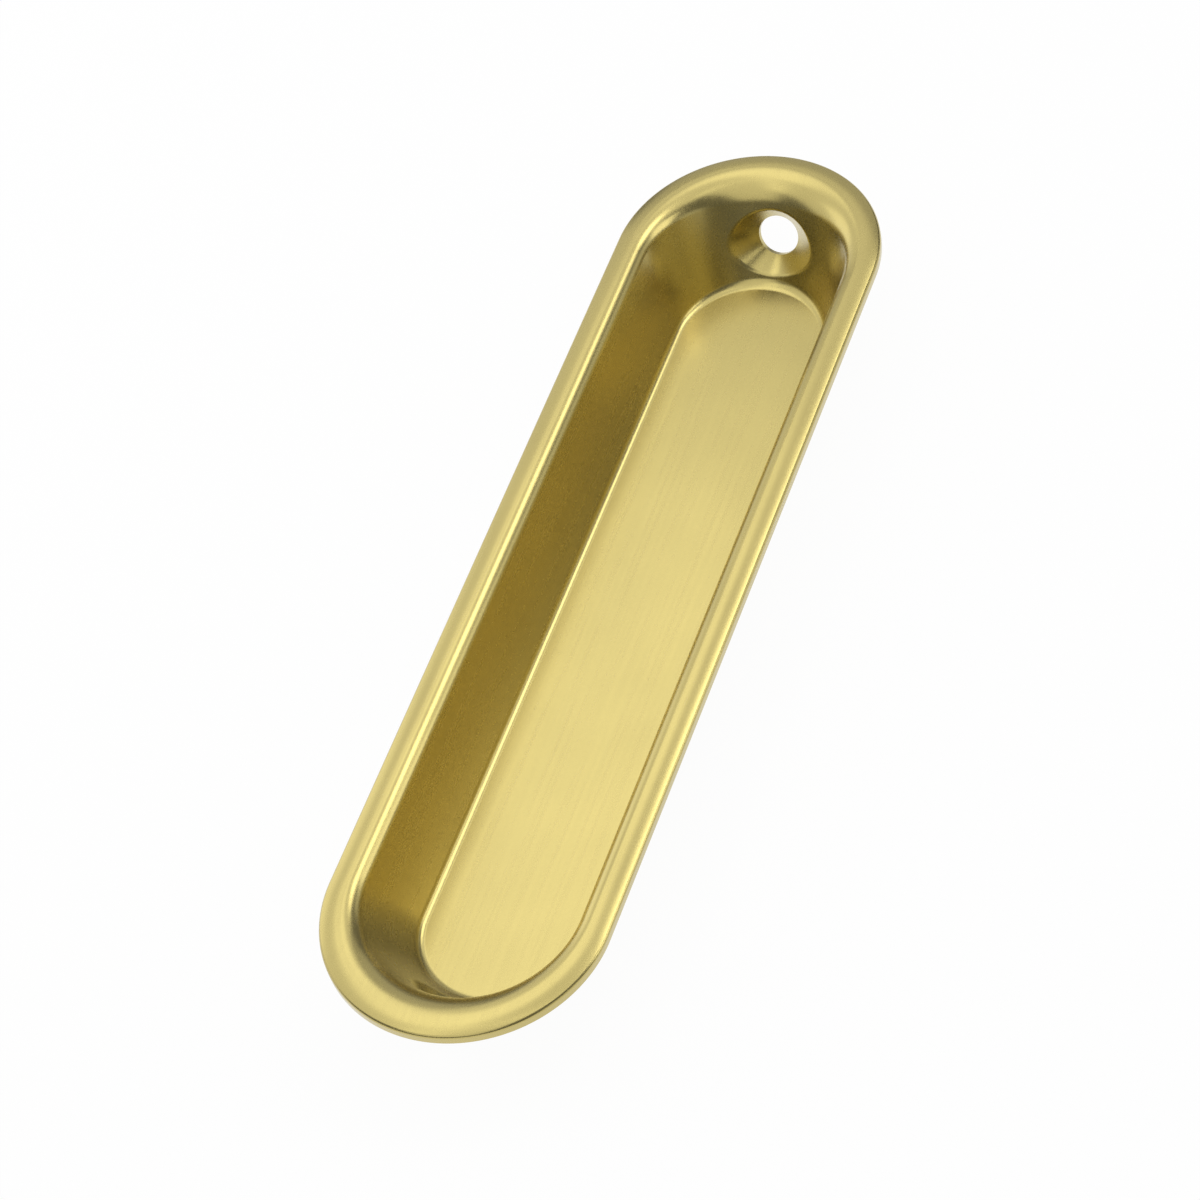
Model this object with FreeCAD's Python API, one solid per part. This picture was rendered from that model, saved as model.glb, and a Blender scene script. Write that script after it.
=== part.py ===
import FreeCAD, Part
import math
import os

# Flush pull for a sliding door, pressed from one piece of brass sheet.
# Millimetres. The origin is the middle of the cup's back, X runs along the pull and Z out of its mouth.

# Rim that lies on the face of the door
rim_length = 101.2
rim_width = 25.7
crown_width = 1.6       # from the outer edge in to the crest
crest_land = 0.15       # narrow flat between the crown and the lip
rim_height = 1.15       # from the seat to the crest
edge_height = 0.85      # from the seat to the corner of the outer edge
edge_round = 0.35       # rounding of that corner

# Sheet and the bends pressed into it, the inner ones softer at the ends than along the sides
sheet = 0.9
root_radius = 0.5       # behind the lip, between the seat and the cup
lip_radius = 1.4        # from the crest over into the cup
end_lip_radius = 3.65
foot_radius = 0.8       # from the walls into the floor
end_foot_radius = 1.3

# Cup for the fingers
cup_depth = 9.0         # from the crest down to the floor
side_draft = 16.6       # lean of the long walls, degrees from upright
end_draft = 29.0        # lean of the end walls, degrees from upright

# Screw hole in each end wall, dished back to take a flat head
screw_rise = 3.95       # centre of the dish above the floor
screw_lean = 25.0       # of the screw below level, degrees
bore_diameter = 4.0
bore_length = 0.5       # straight part of the hole
sink_diameter = 6.6
sink_angle = 82.0
dish_wall = 0.65        # metal left round the hole, drawn thinner than the sheet

# Heights that follow
floor_height = sheet
crest_height = floor_height + cup_depth
seat_height = crest_height - rim_height

# Slopes of the walls, and how far the lip reaches in from the crest before a wall begins
side_slope = math.tan(math.radians(side_draft))
end_slope = math.tan(math.radians(end_draft))
side_lip_run = lip_radius * math.tan(math.radians((90 - side_draft) / 2))
end_lip_run = end_lip_radius * math.tan(math.radians((90 - end_draft) / 2))

# Inside of the cup at the crest, where walls and crest would meet without the lip
mouth_width = rim_width - 2 * (crown_width + crest_land + side_lip_run)
mouth_length = rim_length - 2 * (crown_width + crest_land + end_lip_run)

# Sheet thickness measured level across each wall
side_skin = sheet / math.cos(math.radians(side_draft))
end_skin = sheet / math.cos(math.radians(end_draft))

# Depth of the countersink, from its mouth on the wall's face to the straight hole
sink_radius = sink_diameter / 2
bore_radius = bore_diameter / 2
sink_flare = math.tan(math.radians(sink_angle / 2))
sink_depth = (sink_radius - bore_radius) / sink_flare

# How closely an edge has to keep to a height to count as lying at it
level_slack = 0.001

origin = FreeCAD.Vector(0, 0, 0)
upward = FreeCAD.Vector(0, 0, 1)


def point(x, y, z):
    return FreeCAD.Vector(x, y, z)


def obround(length, width, height):
    """Edges of a level outline of two straight sides joined by two half circles, each in two arcs."""
    reach = (length - width) / 2
    half = width / 2
    diagonal = half / math.sqrt(2)
    edges = []
    for end in (1, -1):
        side_start = point(-end * reach, -end * half, height)
        side_stop = point(end * reach, -end * half, height)
        before_tip = point(end * (reach + diagonal), -end * diagonal, height)
        tip = point(end * (reach + half), 0, height)
        after_tip = point(end * (reach + diagonal), end * diagonal, height)
        arc_stop = point(end * reach, end * half, height)
        edges.append(Part.makeLine(side_start, side_stop))
        edges.append(Part.Arc(side_stop, before_tip, tip).toShape())
        edges.append(Part.Arc(tip, after_tip, arc_stop).toShape())
    return edges


def wall_between(low, high):
    """Face between two like edges: flat between lines, a leaning cone between arcs."""
    if isinstance(low.Curve, Part.Line):
        corners = [low.firstVertex().Point, low.lastVertex().Point]
        corners += [high.lastVertex().Point, high.firstVertex().Point]
        return Part.Face(Part.makePolygon(corners + corners[:1]))
    return Part.makeRuledSurface(low, high).Faces[0]


def tapered_block(low_height, high_height, side_out, end_out):
    """Solid with the slopes of the cup's walls between two heights, stood off from the cup's inside."""
    outlines = []
    for height in (low_height, high_height):
        below_crest = crest_height - height
        length = mouth_length + 2 * (end_out - below_crest * end_slope)
        width = mouth_width + 2 * (side_out - below_crest * side_slope)
        outlines.append(obround(length, width, height))
    faces = [Part.Face(Part.Wire(outline)) for outline in outlines]
    faces += [wall_between(low, high) for low, high in zip(*outlines)]
    shell = Part.makeShell(faces)
    shell.sewShape()
    if Part.makeSolid(shell).Orientation == "Reversed":
        shell.reverse()
    return Part.makeSolid(shell)


def edges_at(shape, height, furthest):
    """Edges that lie at one height, no further than a distance from the line between the end centres."""
    reach = (rim_length - rim_width) / 2
    found = []
    for edge in shape.Edges:
        middle = edge.valueAt((edge.FirstParameter + edge.LastParameter) / 2)
        places = [vertex.Point for vertex in edge.Vertexes] + [middle]
        level = all(abs(place.z - height) < level_slack for place in places)
        if level and math.hypot(max(abs(middle.x) - reach, 0), middle.y) < furthest:
            found.append(edge)
    return found


def bent(shape, edges, side_radius, end_radius):
    """Shape with level edges rounded, by one radius along the sides that grows to another at the tips."""
    document = FreeCAD.newDocument()
    sharp = document.addObject("Part::Feature", "sharp")
    sharp.Shape = shape
    rounded = document.addObject("Part::Fillet", "rounded")
    rounded.Base = sharp
    radii = []
    for edge in edges:
        number = [other.isSame(edge) for other in shape.Edges].index(True) + 1
        at_tip = [abs(vertex.Point.y) < level_slack for vertex in edge.Vertexes]
        start_radius, stop_radius = [end_radius if tip else side_radius for tip in at_tip]
        radii.append((number, start_radius, stop_radius))
    rounded.Edges = radii
    document.recompute()
    return rounded.Shape.copy()


def rim_section():
    """Half section of the rim from its middle out: flat seat, upright edge, rounded corner, arched crown."""
    half = rim_width / 2
    crest_end = half - crown_width
    crown_drop = rim_height - edge_height
    crown_radius = (crown_width ** 2 + crown_drop ** 2) / (2 * crown_drop)
    crown_centre = point(crest_end, 0, crest_height - crown_radius)
    round_out = crown_width - edge_round
    round_up = math.sqrt((crown_radius - edge_round) ** 2 - round_out ** 2)
    round_centre = crown_centre + point(round_out, 0, round_up)
    meeting_angle = math.atan2(round_up, round_out)

    def on_circle(centre, radius, angle):
        return centre + point(radius * math.cos(angle), 0, radius * math.sin(angle))

    middle_low = point(0, 0, seat_height)
    edge_low = point(half, 0, seat_height)
    edge_high = on_circle(round_centre, edge_round, 0)
    round_middle = on_circle(round_centre, edge_round, meeting_angle / 2)
    meeting = on_circle(round_centre, edge_round, meeting_angle)
    crown_middle = on_circle(crown_centre, crown_radius, (meeting_angle + math.pi / 2) / 2)
    crest = point(crest_end, 0, crest_height)
    middle_high = point(0, 0, crest_height)
    return Part.Face(Part.Wire([
        Part.makeLine(middle_low, edge_low),
        Part.makeLine(edge_low, edge_high),
        Part.Arc(edge_high, round_middle, meeting).toShape(),
        Part.Arc(meeting, crown_middle, crest).toShape(),
        Part.makeLine(crest, middle_high),
        Part.makeLine(middle_high, middle_low),
    ]))


def rim_plate():
    """Obround plate: the rim's section run along both sides and turned round both ends."""
    reach = (rim_length - rim_width) / 2
    across = rim_section()
    across.rotate(origin, upward, -90)
    pieces = []
    for turn in (0, 180):
        side = across.extrude(point(2 * reach, 0, 0))
        side.translate(point(-reach, 0, 0))
        end = across.revolve(origin, upward, 180)
        end.translate(point(reach, 0, 0))
        for piece in (side, end):
            piece.rotate(origin, upward, turn)
            pieces.append(piece)
    return pieces[0].multiFuse(pieces[1:]).removeSplitter()


def screw_place(end):
    """Centre of a screw hole on the face of an end wall, and the way its screw drives."""
    below_crest = cup_depth - screw_rise
    out = mouth_length / 2 - below_crest * end_slope
    lean = math.radians(screw_lean)
    return point(end * out, 0, crest_height - below_crest), point(end * math.cos(lean), 0, -math.sin(lean))


def dish_back(end):
    """Tapered boss that leaves metal round the screw's hollow, from inside the cup to the hole's back.

    A shallow cup brings it up to the crest, where it ends.
    """
    place, drive = screw_place(end)
    depth = sink_depth + bore_length
    taper = (sink_radius - bore_radius) / depth
    front_radius = sink_radius + dish_wall + taper * sheet
    boss = Part.makeCone(front_radius, bore_radius + dish_wall, sheet + depth, place - drive * sheet, drive)
    return boss.common(tapered_block(0, crest_height, front_radius, front_radius))


def dish_hollow(end):
    """Countersink, carried forward into the open cup, with the straight hole behind it."""
    place, drive = screw_place(end)
    forward = sink_radius
    mouth_radius = sink_radius + forward * sink_flare
    countersink = Part.makeCone(
        mouth_radius, bore_radius, forward + sink_depth, place - drive * forward, drive
    )
    hole = Part.makeCylinder(bore_radius, 2 * bore_length, place + drive * sink_depth, drive)
    return countersink.fuse(hole)


def pull_body():
    """Rim and cup back as one block, hollowed by the cup, bent smooth and dished for the screws."""
    inside_crest = rim_width / 2 - crown_width - crest_land / 2
    cup_back = tapered_block(0, crest_height - rim_height / 2, side_skin, end_skin)
    back_edges = edges_at(cup_back, 0, inside_crest)
    cup_back = bent(cup_back, back_edges, foot_radius + sheet, end_foot_radius + sheet)
    hollow = tapered_block(floor_height, crest_height, 0, 0)
    hollow = bent(hollow, edges_at(hollow, floor_height, inside_crest), foot_radius, end_foot_radius)
    body = rim_plate().fuse(cup_back)
    body = body.makeFillet(root_radius, edges_at(body, seat_height, inside_crest))
    body = body.multiFuse([dish_back(1), dish_back(-1)]).cut(hollow)
    body = bent(body, edges_at(body, crest_height, inside_crest), lip_radius, end_lip_radius)
    body = body.cut([dish_hollow(1), dish_hollow(-1)])
    return body.removeSplitter().Solids[0]


os.makedirs("parts", exist_ok=True)
pull_body().exportStep("parts/pull_body.step")
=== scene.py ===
"""Satin brass pocket door pull, lying on its back on a pale floor under soft studio light."""

import math

import bpy
import numpy as np
from mathutils import Matrix, Vector


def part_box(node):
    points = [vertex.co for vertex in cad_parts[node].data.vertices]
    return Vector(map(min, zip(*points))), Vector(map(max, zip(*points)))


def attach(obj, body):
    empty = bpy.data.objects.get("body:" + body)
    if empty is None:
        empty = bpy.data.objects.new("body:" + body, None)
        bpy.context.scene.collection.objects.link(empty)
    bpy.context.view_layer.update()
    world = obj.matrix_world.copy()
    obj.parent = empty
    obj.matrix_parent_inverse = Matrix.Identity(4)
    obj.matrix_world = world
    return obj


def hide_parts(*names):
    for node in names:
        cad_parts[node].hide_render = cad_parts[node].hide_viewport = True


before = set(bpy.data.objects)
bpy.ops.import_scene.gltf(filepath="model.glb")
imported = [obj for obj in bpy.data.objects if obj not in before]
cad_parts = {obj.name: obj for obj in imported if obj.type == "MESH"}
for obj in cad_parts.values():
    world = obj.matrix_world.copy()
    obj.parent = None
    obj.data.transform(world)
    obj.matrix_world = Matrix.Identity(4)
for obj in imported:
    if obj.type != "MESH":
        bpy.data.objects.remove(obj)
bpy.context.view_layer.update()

# Metres. X runs along the pull, Z out of its mouth, and the origin is the middle of the cup's back.
mm = 0.001
body_low, body_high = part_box("pull_body")

# Rim that lies on the face of the door
rim_length = body_high.x - body_low.x
rim_width = body_high.y - body_low.y
crest_height = body_high.z
crown_width = 1.6 * mm
crest_land = 0.15 * mm
rim_height = 1.15 * mm
edge_height = 0.85 * mm
edge_round = 0.35 * mm
rim_half = rim_width / 2
rim_reach = (rim_length - rim_width) / 2
seat_height = crest_height - rim_height
crest_end = rim_half - crown_width
crown_drop = rim_height - edge_height
crown_radius = (crown_width ** 2 + crown_drop ** 2) / (2 * crown_drop)

# The small round at the rim's edge touches the crown from inside, which gives its centre and their meeting
round_out = crown_width - edge_round
round_up = math.sqrt((crown_radius - edge_round) ** 2 - round_out ** 2)
crown_meets_round = math.atan2(round_up, round_out)

# Sheet and the bends pressed into it, the inner ones softer at the ends than along the sides
sheet = 0.9 * mm
root_radius = 0.5 * mm
side_lip_radius = 1.4 * mm
end_lip_radius = 3.65 * mm
side_foot_radius = 0.8 * mm
end_foot_radius = 1.3 * mm

# Cup for the fingers, with the lean of its walls from upright
side_draft = math.radians(16.6)
end_draft = math.radians(29.0)
floor_height = sheet
side_slope = math.tan(side_draft)
end_slope = math.tan(end_draft)
side_lip_run = side_lip_radius * math.tan((math.pi / 2 - side_draft) / 2)
end_lip_run = end_lip_radius * math.tan((math.pi / 2 - end_draft) / 2)
mouth_half_width = crest_end - crest_land - side_lip_run
mouth_half_length = rim_length / 2 - crown_width - crest_land - end_lip_run

# Screw hole in each end wall, dished back to take a flat head
screw_rise = 3.95 * mm
screw_lean = math.radians(25.0)         # of the screw below level
bore_radius = 2.0 * mm
bore_length = 0.5 * mm
sink_radius = 3.3 * mm
sink_angle = math.radians(41.0)         # from the hole's axis to the countersink's face
dish_wall = 0.65 * mm                   # metal left round the hole
sink_depth = (sink_radius - bore_radius) / math.tan(sink_angle)
dish_depth = sink_depth + bore_length
boss_radius = bore_radius + dish_wall
boss_taper = (sink_radius - bore_radius) / dish_depth
mouth_ease = 0.2 * mm                   # reach of the broken edge at the countersink's mouth
boss_ease = 0.08 * mm                   # reach of the bend between the wall and the back of the dish
screw_height = floor_height + screw_rise
screw_out = mouth_half_length - (crest_height - screw_height) * end_slope
screw_place = np.array([screw_out, 0.0, screw_height])
screw_drive = np.array([math.cos(screw_lean), 0.0, -math.sin(screw_lean)])

# Steps of the surfaces
end_steps = 96
side_steps = 48
hole_steps = 24             # of the end's steps, taken up by a hole's surroundings to each side of it
bend_rows = 13
wall_rows = 21
cut_rows = 3                # along the bore and across its end
halvings = 40               # of the range in which a curve where two surfaces meet is sought
axis_share = 1e-6           # start of that range, just off the hole's axis

# Satin finish of the brass, with the scales of its patterns per metre
grain_along = 60.0
grain_across = 2600.0
pit_scale = 5200.0
cloud_scale = 110.0
pit_share = 0.35            # of the pits in the texture, the rest of which is grain
noise_low = 0.3             # range of the noise that is put to use
noise_high = 0.7
darker_brass = (0.522, 0.426, 0.133, 1.0)
lighter_brass = (0.556, 0.454, 0.143, 1.0)
finest_roughness = 0.23
coarsest_roughness = 0.29
relief_strength = 0.065
relief_depth = 0.02 * mm
lacquer_roughness = 0.3
lacquer_index = 1.5         # of refraction

# White studio floor that the pull lies on
studio_half = 4.0
studio_white = (1.0, 1.0, 1.0, 1.0)
studio_matt = (0.9, 0.9, 0.9, 1.0)
studio_share = 0.96         # shown as plain white, the rest keeps its shading

# Lean of a surface's normal: 0 is straight out from the rim, a quarter turn is straight up
up_lean = math.pi / 2
end_angle = np.linspace(-math.pi / 2, math.pi / 2, end_steps + 1)
inner_skin = (0.0, 0.0)
outer_skin = (sheet / math.cos(side_draft), sheet / math.cos(end_draft))


def wall_draft(angle):
    """Lean of the cup's wall from upright: its slope goes from the side's to the end's with the cosine."""
    return np.arctan(side_slope + (end_slope - side_slope) * np.cos(angle))


def wall_outline(height, skin):
    """End centre and end radius of the cup's level outline, which draws in evenly as it goes down."""
    below = crest_height - height
    radius = mouth_half_width + skin[0] - below * side_slope
    return mouth_half_length + skin[1] - below * end_slope - radius, radius


def softened(side_radius, end_radius):
    """Radius of a bend by end angle: it grows smoothly from the sides' to that at the end's tip."""
    share = 1 - np.abs(end_angle) / (math.pi / 2)
    return side_radius + (end_radius - side_radius) * share ** 2 * (3 - 2 * share)


def rows(centre, out, height, lean, count):
    """Rows of a surface by end angle: end centre, distance out from it, height and lean of its normal."""
    shape = (count, end_steps + 1)
    return [np.broadcast_to(value, shape) for value in (centre, out, height, lean)]


def bend(centre, out, height, radius, lean_from, lean_to, count=bend_rows):
    """Arc: a ball's centre plus its radius times the normal, as the normal leans over.

    With a negative radius the bend is hollow, and its normal points to the ball's centre.
    """
    lean = lean_from + (lean_to - lean_from) * np.linspace(0, 1, count)[:, None]
    return rows(centre, out + radius * np.cos(lean), height + radius * np.sin(lean), lean, count)


def wall_bend(height, radius, skin, wall_lean, lean_from, lean_to):
    """Bend of a ball that rolls along the leaning wall at one height.

    It touches the wall its radius away along the wall's normal, which gives the ball's centre.
    """
    centre, wall_out = wall_outline(height + radius * np.sin(wall_lean), skin)
    return bend(centre, wall_out - radius * np.cos(wall_lean), height, radius, lean_from, lean_to)


def straight(before, after, lean, count=2):
    """Straight run from the last row of one surface to the first row of the next."""
    share = np.linspace(0, 1, count)[:, None]
    runs = [first[-1] + (last[0] - first[-1]) * share for first, last in zip(before[:3], after[:3])]
    return rows(*runs, lean, count)


def profile():
    """Section of the sheet by end angle, from the back of the floor over the rim to its front."""
    lip_radius = softened(side_lip_radius, end_lip_radius)
    foot_radius = softened(side_foot_radius, end_foot_radius)
    back_foot_radius = foot_radius + sheet
    draft = wall_draft(end_angle)
    back_lean = -draft
    front_lean = math.pi - draft
    back_foot = wall_bend(back_foot_radius, back_foot_radius, outer_skin, back_lean, -up_lean, back_lean)
    root = wall_bend(seat_height - root_radius, -root_radius, outer_skin, back_lean, back_lean, -up_lean)
    back_wall = straight(back_foot, root, back_lean, wall_rows)
    rim_edge = rows(rim_reach, rim_half, seat_height, 0.0, 1)
    crown_centre = crest_height - crown_radius
    edge_centre = crown_centre + round_up
    corner = bend(rim_reach, rim_half - edge_round, edge_centre, edge_round, 0.0, crown_meets_round)
    crown = bend(rim_reach, crest_end, crown_centre, crown_radius, crown_meets_round, up_lean)
    lip = wall_bend(crest_height - lip_radius, lip_radius, inner_skin, front_lean, up_lean, front_lean)
    foot = wall_bend(floor_height + foot_radius, -foot_radius, inner_skin, front_lean, front_lean, up_lean)
    wall = straight(lip, foot, front_lean, wall_rows)
    return {
        "back_foot": back_foot,
        "back_wall": back_wall,
        "root": root,
        "seat": straight(root, rim_edge, -up_lean),
        "edge": straight(rim_edge, corner, 0.0),
        "corner": corner,
        "crown": crown,
        "crest": straight(crown, lip, up_lean),
        "lip": lip,
        "wall": wall,
        "foot": foot,
    }


def carried_round(half):
    """One end's points and the side after it, then both turned half round for the other end."""
    mirrored = half[:, -1:] * (-1, 1, 1)
    share = np.linspace(0, 1, side_steps + 1)[1:-1, None]
    side = half[:, -1:] + (mirrored - half[:, -1:]) * share
    half = np.concatenate([half, side], axis=1)
    return np.concatenate([half, half * (-1, -1, 1)], axis=1)


def surface(centre, out, height, lean):
    """Points and normals of a part of the profile, carried round the pull."""
    cosine, sine = np.cos(end_angle), np.sin(end_angle)
    points = np.stack([centre + out * cosine, out * sine, height], axis=-1)
    level = np.cos(lean)
    normals = np.stack([level * cosine, level * sine, np.sin(lean)], axis=-1)
    return carried_round(points), carried_round(normals)


def unit(vectors):
    """Vectors of length one: each divided by its own length."""
    return vectors / np.linalg.norm(vectors, axis=-1, keepdims=True)


def wall_point(angle, height, skin):
    """Point of the right end's wall at an end angle and a height."""
    centre, radius = wall_outline(height, skin)
    return np.stack([centre + radius * np.cos(angle), radius * np.sin(angle), height], axis=-1)


def wall_normal(angle, facing):
    """Normal of the right end's wall: out and down behind it (1), in and up in the cup (-1)."""
    draft = wall_draft(angle)
    level = np.cos(draft)
    return facing * np.stack([level * np.cos(angle), level * np.sin(angle), -np.sin(draft)], axis=-1)


def about_screw(points):
    """Depth along the screw, distance from its axis, and the way out from the axis, of points."""
    offset = points - screw_place
    depth = offset @ screw_drive
    aside = offset - depth[..., None] * screw_drive
    distance = np.linalg.norm(aside, axis=-1)
    return depth, distance, aside / distance[..., None]


def on_screw(depth, distance, outward):
    """Points at a depth along the screw and a distance from its axis."""
    return screw_place + np.multiply.outer(depth, screw_drive) + distance[..., None] * outward


def patch_border(grid):
    """Places round a rectangle of a wall's grid, clockwise from its top left, as row and column."""
    left = end_steps // 2 - hole_steps
    right = end_steps // 2 + hole_steps
    last = wall_rows - 1
    across = np.arange(left, right)
    down = np.arange(last)
    row = np.concatenate([0 * across, down, 0 * across + last, last - down])
    column = np.concatenate([across, 0 * down + right, left + right - across, 0 * down + left])
    return grid[row, column]


def meeting_curve(border_angle, border_height, start_height, skin, cone):
    """Share of the way from the hole's axis out to the border at which the wall meets a cone.

    The wall's points run straight out in end angle and height, and the range that holds the
    meeting is halved again and again for all of them at once.
    """
    low = np.full(border_angle.shape, axis_share)
    high = np.ones(border_angle.shape)
    for _ in range(halvings):
        middle = (low + high) / 2
        height = start_height + (border_height - start_height) * middle
        depth, distance, _ = about_screw(wall_point(border_angle * middle, height, skin))
        inside = distance < cone(depth)
        low = np.where(inside, middle, low)
        high = np.where(inside, high, middle)
    return (low + high) / 2


def countersink(depth):
    """Radius of the countersink at a depth along the screw."""
    return sink_radius - depth * math.tan(sink_angle)


def boss(depth):
    """Radius of the dish's back at a depth along the screw."""
    return boss_radius + (dish_depth - depth) * boss_taper


def eased(first, corner, last):
    """Eased edge between two surfaces: a parabola from one to the other, drawn to their meeting.

    Each argument has points, and the first and last have normals, which turn evenly in between.
    """
    share = np.linspace(0, 1, bend_rows)[:, None, None]
    points = (1 - share) ** 2 * first[0] + 2 * share * (1 - share) * corner + share ** 2 * last[0]
    return points, unit(first[1] + (last[1] - first[1]) * share)


def screw_rows(first, last, facing, count):
    """Rows straight from one ring about the screw to another.

    A ring has a depth, a radius and the ways out from the axis. The normal is a share of the way
    out and a share of the screw's own direction.
    """
    share = np.linspace(0, 1, count)[:, None]
    depth = first[0] + (last[0] - first[0]) * share
    radius = first[1] + (last[1] - first[1]) * share
    outward = unit(first[2] + (last[2] - first[2]) * share[..., None])
    return on_screw(depth, radius, outward), facing[0] * outward + facing[1] * screw_drive


def hole_wall(angle, height, facing, skin, cone, cone_facing, ease):
    """Wall from a patch's border in to a cone about the screw, and the eased edge between the two."""
    # Height near which the screw's axis passes through this side of the wall
    start = screw_height if facing < 0 else screw_height + sheet * screw_drive[2]

    def on_wall(share):
        return wall_point(angle * share, start + (height - start) * share, skin)

    meeting = meeting_curve(angle, height, start, skin, cone)
    leaving = meeting_curve(angle, height, start, skin, lambda depth: cone(depth) + ease)
    share = 1 + (leaving - 1) * np.linspace(0, 1, bend_rows)[:, None]
    wall = on_wall(share), wall_normal(angle * share, facing)
    depth, _, outward = about_screw(on_wall(meeting))
    ring = depth + ease, cone(depth + ease), outward
    joined = on_screw(*ring), cone_facing[0] * outward + cone_facing[1] * screw_drive
    edge = eased((wall[0][-1], wall[1][-1]), on_wall(meeting), joined)
    return wall, edge, ring


def screw_hole(front_border, back_border):
    """Surfaces of the right end's screw hole, from its border in the cup to the one behind the wall."""
    sink_facing = -math.cos(sink_angle), -math.sin(sink_angle)
    boss_facing = 1 / math.hypot(1, boss_taper), boss_taper / math.hypot(1, boss_taper)
    wall, mouth, sink_ring = hole_wall(*front_border, -1, inner_skin, countersink, sink_facing, mouth_ease)
    back, back_bend, boss_ring = hole_wall(*back_border, 1, outer_skin, boss, boss_facing, boss_ease)
    bore_top = sink_depth, bore_radius, sink_ring[2]
    bore_end = dish_depth, bore_radius, sink_ring[2]
    boss_end = dish_depth, boss_radius, boss_ring[2]
    return [
        wall,
        mouth,
        screw_rows(sink_ring, bore_top, sink_facing, bend_rows),
        screw_rows(bore_top, bore_end, (-1.0, 0.0), cut_rows),
        screw_rows(bore_end, boss_end, (0.0, 1.0), cut_rows),
        screw_rows(boss_end, boss_ring, boss_facing, bend_rows),
        tuple(values[::-1] for values in back_bend),
        tuple(values[::-1] for values in back),
    ]


def numbered(parts, start):
    """Points of parts joined end to end, each starting on the last row before it, and their numbers."""
    counts = [len(points) for points, _ in parts]
    starts = np.cumsum([0] + [count - 1 for count in counts[:-1]])
    points = np.concatenate([parts[0][0][:1]] + [points[1:] for points, _ in parts])
    numbers = start + np.arange(points.shape[0] * points.shape[1]).reshape(points.shape[:2])
    return points.reshape(-1, 3), numbers, list(zip(starts, starts + counts))


def faces_between(values):
    """The four values at the corners of each face between neighbouring rows of a closed band."""
    following = np.roll(values, -1, axis=1)
    return np.stack([values[:-1], following[:-1], following[1:], values[1:]], axis=2)


def pull_body():
    """The whole pull as one closed mesh: the profile carried round, with a screw hole let into each end.

    The floor's front and back are one flat face each. Each corner of a face keeps the exact normal
    of its surface, so bends meet flats smoothly and the cut edges stay crisp.
    """
    sections = profile()
    names = list(sections)
    parts = [surface(*section) for section in sections.values()]
    points, numbers, spans = numbered(parts, 0)
    round_count = numbers.shape[1]
    faces, normals = [], []

    def border_of(name):
        angle = np.broadcast_to(end_angle, sections[name][0].shape)
        values = [angle, sections[name][2], numbers[slice(*spans[names.index(name)])]]
        flip = -1 if name == "back_wall" else 1
        return [patch_border(value[::flip]) for value in values]

    # The holes' own surfaces take the place of the walls round them
    left = end_steps // 2 - hole_steps
    in_patch = np.zeros(round_count, bool)
    in_patch[left:left + 2 * hole_steps] = True
    in_patch |= np.roll(in_patch, round_count // 2)
    for name, (_, facing), span in zip(names, parts, spans):
        keep = ~in_patch if name in ("wall", "back_wall") else np.ones(round_count, bool)
        faces.append(faces_between(numbers[slice(*span)])[:, keep].reshape(-1, 4))
        normals.append(faces_between(facing)[:, keep].reshape(-1, 3))

    front, back = border_of("wall"), border_of("back_wall")
    hole = screw_hole(front[:2], back[:2])
    for turn in (1, -1):
        turned = [(values * (turn, turn, 1), facing * (turn, turn, 1)) for values, facing in hole]
        hole_points, hole_numbers, hole_spans = numbered(turned, len(points))
        shift = 0 if turn > 0 else round_count // 2
        hole_numbers[0] = front[2] + shift
        hole_numbers[-1] = back[2] + shift
        points = np.concatenate([points, hole_points])
        for (_, facing), span in zip(turned, hole_spans):
            faces.append(faces_between(hole_numbers[slice(*span)]).reshape(-1, 4))
            normals.append(faces_between(facing).reshape(-1, 3))

    floors = [numbers[-1], numbers[0, ::-1]]
    normals += [np.tile([0.0, 0.0, facing], (round_count, 1)) for facing in (1.0, -1.0)]
    corners = np.concatenate([block.ravel() for block in faces] + floors)
    used, corners = np.unique(corners, return_inverse=True)
    quads = corners[:-2 * round_count].reshape(-1, 4).tolist()
    caps = corners[-2 * round_count:].reshape(2, -1).tolist()
    mesh = bpy.data.meshes.new("pull_body_brass")
    mesh.from_pydata(points[used].tolist(), [], quads + caps)
    mesh.polygons.foreach_set("use_smooth", np.ones(len(mesh.polygons), bool))
    mesh.normals_split_custom_set(np.concatenate(normals).tolist())
    mesh.update()
    piece = bpy.data.objects.new("pull_body_brass", mesh)
    bpy.context.scene.collection.objects.link(piece)
    return piece


def add_node(tree, kind, inputs=None, **settings):
    """A shader node with its settings, and with its inputs set to values or linked to sockets."""
    node = tree.nodes.new("ShaderNode" + kind)
    for name, value in settings.items():
        setattr(node, name, value)
    for name, value in (inputs or {}).items():
        if isinstance(value, bpy.types.NodeSocket):
            tree.links.new(value, node.inputs[name])
        else:
            node.inputs[name].default_value = value
    return node


def new_material(name):
    """A material with an empty node tree, and that tree."""
    material = bpy.data.materials.new(name)
    material.use_nodes = True
    material.node_tree.nodes.clear()
    return material, material.node_tree


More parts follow.
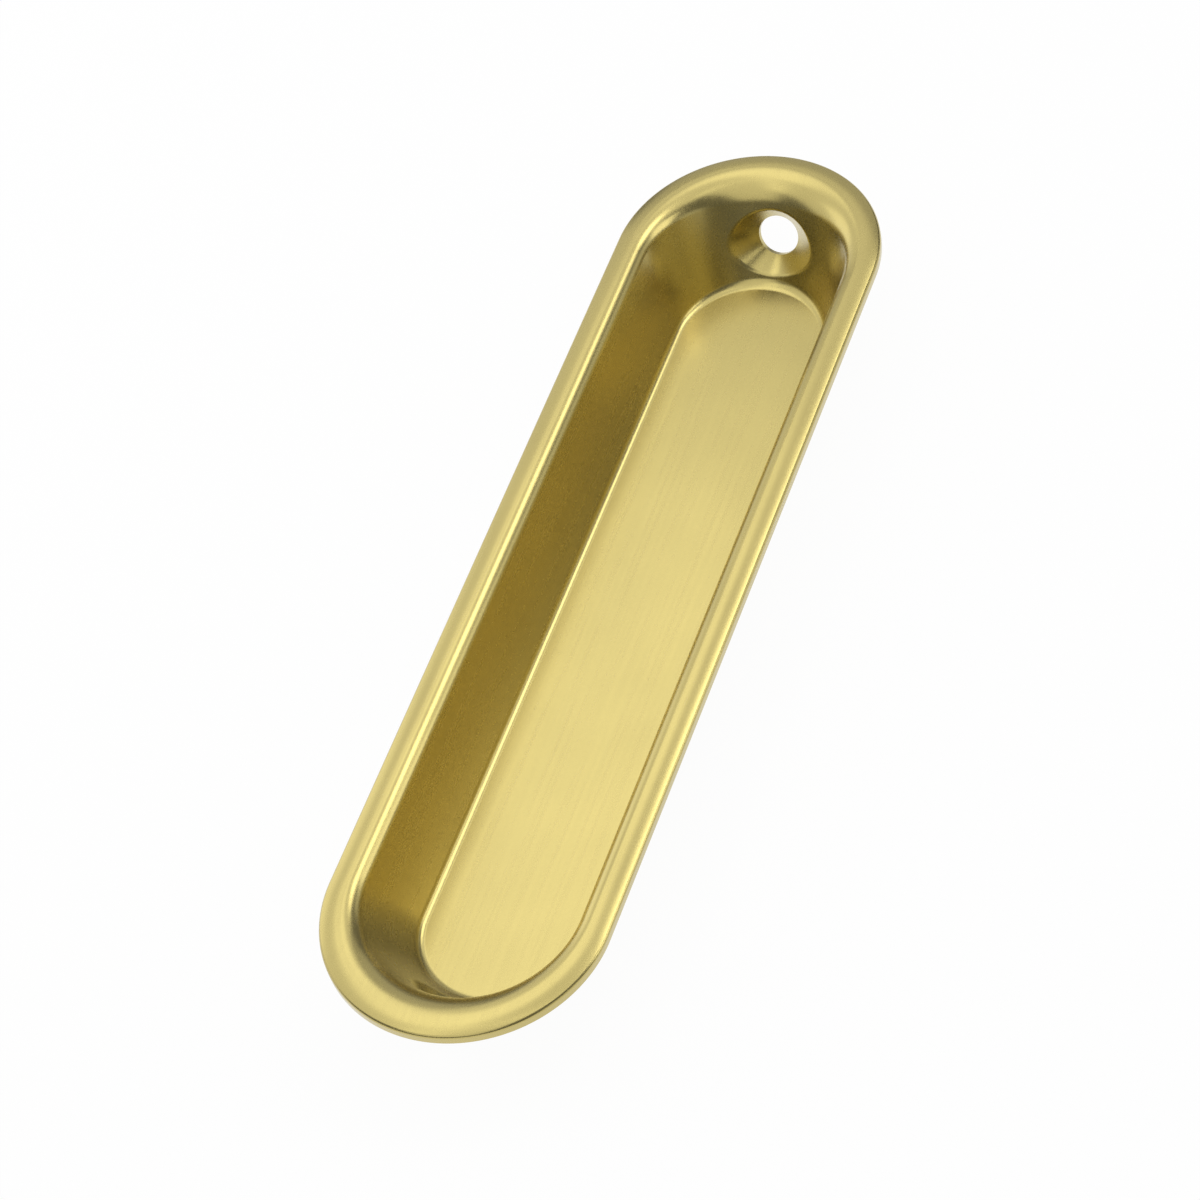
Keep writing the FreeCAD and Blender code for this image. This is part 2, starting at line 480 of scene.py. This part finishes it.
def satin_brass():
    """Yellow brass with a fine lengthwise satin grain, faint clouding and a thin clear lacquer."""
    material, tree = new_material("satin_brass")
    place = add_node(tree, "TexCoord").outputs["Object"]
    stretch = (grain_along, grain_across, grain_across)
    along = add_node(tree, "Mapping", {"Vector": place, "Scale": stretch})
    grain = add_node(tree, "TexNoise", {"Vector": along.outputs[0], "Scale": 1.0, "Detail": 3.0})
    clouds = add_node(tree, "TexNoise", {"Vector": place, "Scale": cloud_scale, "Detail": 3.0})
    pits = add_node(tree, "TexNoise", {"Vector": place, "Scale": pit_scale, "Detail": 2.0})
    tone = add_node(tree, "ValToRGB", {"Fac": clouds.outputs["Fac"]})
    darker, lighter = tone.color_ramp.elements
    darker.position = noise_low
    darker.color = darker_brass
    lighter.position = noise_high
    lighter.color = lighter_brass
    texture = add_node(tree, "Mix", {
        "Factor": pit_share,
        "A": grain.outputs["Fac"],
        "B": pits.outputs["Fac"],
    })
    rough = add_node(tree, "MapRange", {
        "Value": texture.outputs[0],
        "From Min": noise_low,
        "From Max": noise_high,
        "To Min": finest_roughness,
        "To Max": coarsest_roughness,
    })
    relief = add_node(tree, "Bump", {
        "Height": texture.outputs[0],
        "Strength": relief_strength,
        "Distance": relief_depth,
    })
    shader = add_node(tree, "BsdfPrincipled", {
        "Base Color": tone.outputs["Color"],
        "Metallic": 1.0,
        "Roughness": rough.outputs["Result"],
        "Normal": relief.outputs["Normal"],
        "Coat Weight": 1.0,
        "Coat Roughness": lacquer_roughness,
        "Coat IOR": lacquer_index,
    })
    add_node(tree, "OutputMaterial", {"Surface": shader.outputs["BSDF"]})
    return material


def pale_floor():
    """White floor: shown as white, with a part of its own shading left so that it keeps the shadow."""
    material, tree = new_material("pale_floor")
    path = add_node(tree, "LightPath")
    seen = add_node(tree, "Math", {0: path.outputs["Is Camera Ray"], 1: path.outputs["Is Glossy Ray"]})
    through = path.outputs["Is Transmission Ray"]
    shown = add_node(tree, "Math", {0: seen.outputs[0], 1: through}, use_clamp=True)
    share = add_node(tree, "Math", {0: shown.outputs[0], 1: studio_share}, operation="MULTIPLY")
    matt = add_node(tree, "BsdfDiffuse", {"Color": studio_matt})
    white = add_node(tree, "Emission", {"Color": studio_white, "Strength": 1.0})
    mixed = add_node(tree, "MixShader", {0: share.outputs[0], 1: matt.outputs[0], 2: white.outputs[0]})
    add_node(tree, "OutputMaterial", {"Surface": mixed.outputs[0]})
    return material


def studio_floor():
    """Level square under the pull's back."""
    ways = [(-1, -1, 0), (1, -1, 0), (1, 1, 0), (-1, 1, 0)]
    mesh = bpy.data.meshes.new("studio_floor")
    mesh.from_pydata((np.array(ways) * studio_half).tolist(), [], [(0, 1, 2, 3)])
    mesh.materials.append(pale_floor())
    floor = bpy.data.objects.new("studio_floor", mesh)
    bpy.context.scene.collection.objects.link(floor)
    return floor


def soft_box(name, place, width, height, brightness):
    """Rectangular soft light that faces the pull, its power set from the brightness of its face."""
    lamp = bpy.data.lights.new(name, "AREA")
    lamp.shape = "RECTANGLE"
    lamp.size = width
    lamp.size_y = height
    lamp.energy = brightness * math.pi * width * height
    holder = bpy.data.objects.new(name, lamp)
    holder.visible_camera = False
    place = Vector(place)
    holder.matrix_world = Matrix.Translation(place) @ place.to_track_quat("Z", "Y").to_matrix().to_4x4()
    bpy.context.scene.collection.objects.link(holder)
    return holder


def studio_world(grey):
    """Even dim light from all round."""
    world = bpy.data.worlds.new("studio")
    world.use_nodes = True
    world.node_tree.nodes["Background"].inputs["Color"].default_value = (grey, grey, grey, 1.0)
    bpy.context.scene.world = world


def photo_camera():
    """Camera at the photograph's place, with its turn given by the picture's right, up and back."""
    camera = bpy.data.cameras.new("photo_camera")
    camera.sensor_width = 36.0
    camera.lens = 121.48
    camera.clip_start = 0.01
    camera.clip_end = 20.0
    right = Vector((0.32930, -0.92474, -0.19085))
    up = Vector((0.77414, 0.14869, 0.61531))
    back = Vector((-0.54062, -0.35036, 0.76483))
    place = Vector((-0.198010, -0.125726, 0.283640))
    turn = Matrix((right, up, back)).transposed().to_4x4()
    holder = bpy.data.objects.new("photo_camera", camera)
    holder.matrix_world = Matrix.Translation(place) @ turn
    bpy.context.scene.collection.objects.link(holder)
    bpy.context.scene.camera = holder


pull = pull_body()
pull.data.materials.append(satin_brass())
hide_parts("pull_body")
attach(pull, "root")

studio_floor()

# Soft light, each box with its place, its width and height, and the brightness of its face
studio_world(0.16)
soft_box("overhead", (0.203, -0.054, 0.507), 0.70, 0.52, 0.76)
soft_box("left", (0.033, 0.192, 0.162), 0.38, 0.38, 0.78)
soft_box("right", (0.072, -0.221, 0.122), 0.12, 0.16, 1.80)
soft_box("near", (-0.240, 0.020, 0.380), 0.37, 0.58, 0.80)
soft_box("far", (0.394, 0.102, 0.170), 0.31, 0.22, 0.42)
soft_box("high_right", (0.373, -0.257, 0.604), 0.28, 0.28, 2.47)
soft_box("low_left", (0.068, 0.234, 0.104), 0.13, 0.16, 0.55)
soft_box("low_right", (0.310, -0.310, 0.118), 0.20, 0.16, 0.50)
soft_box("front", (-0.165, -0.408, 0.094), 0.22, 0.16, 0.50)
photo_camera()
bpy.context.scene.view_settings.view_transform = "Standard"
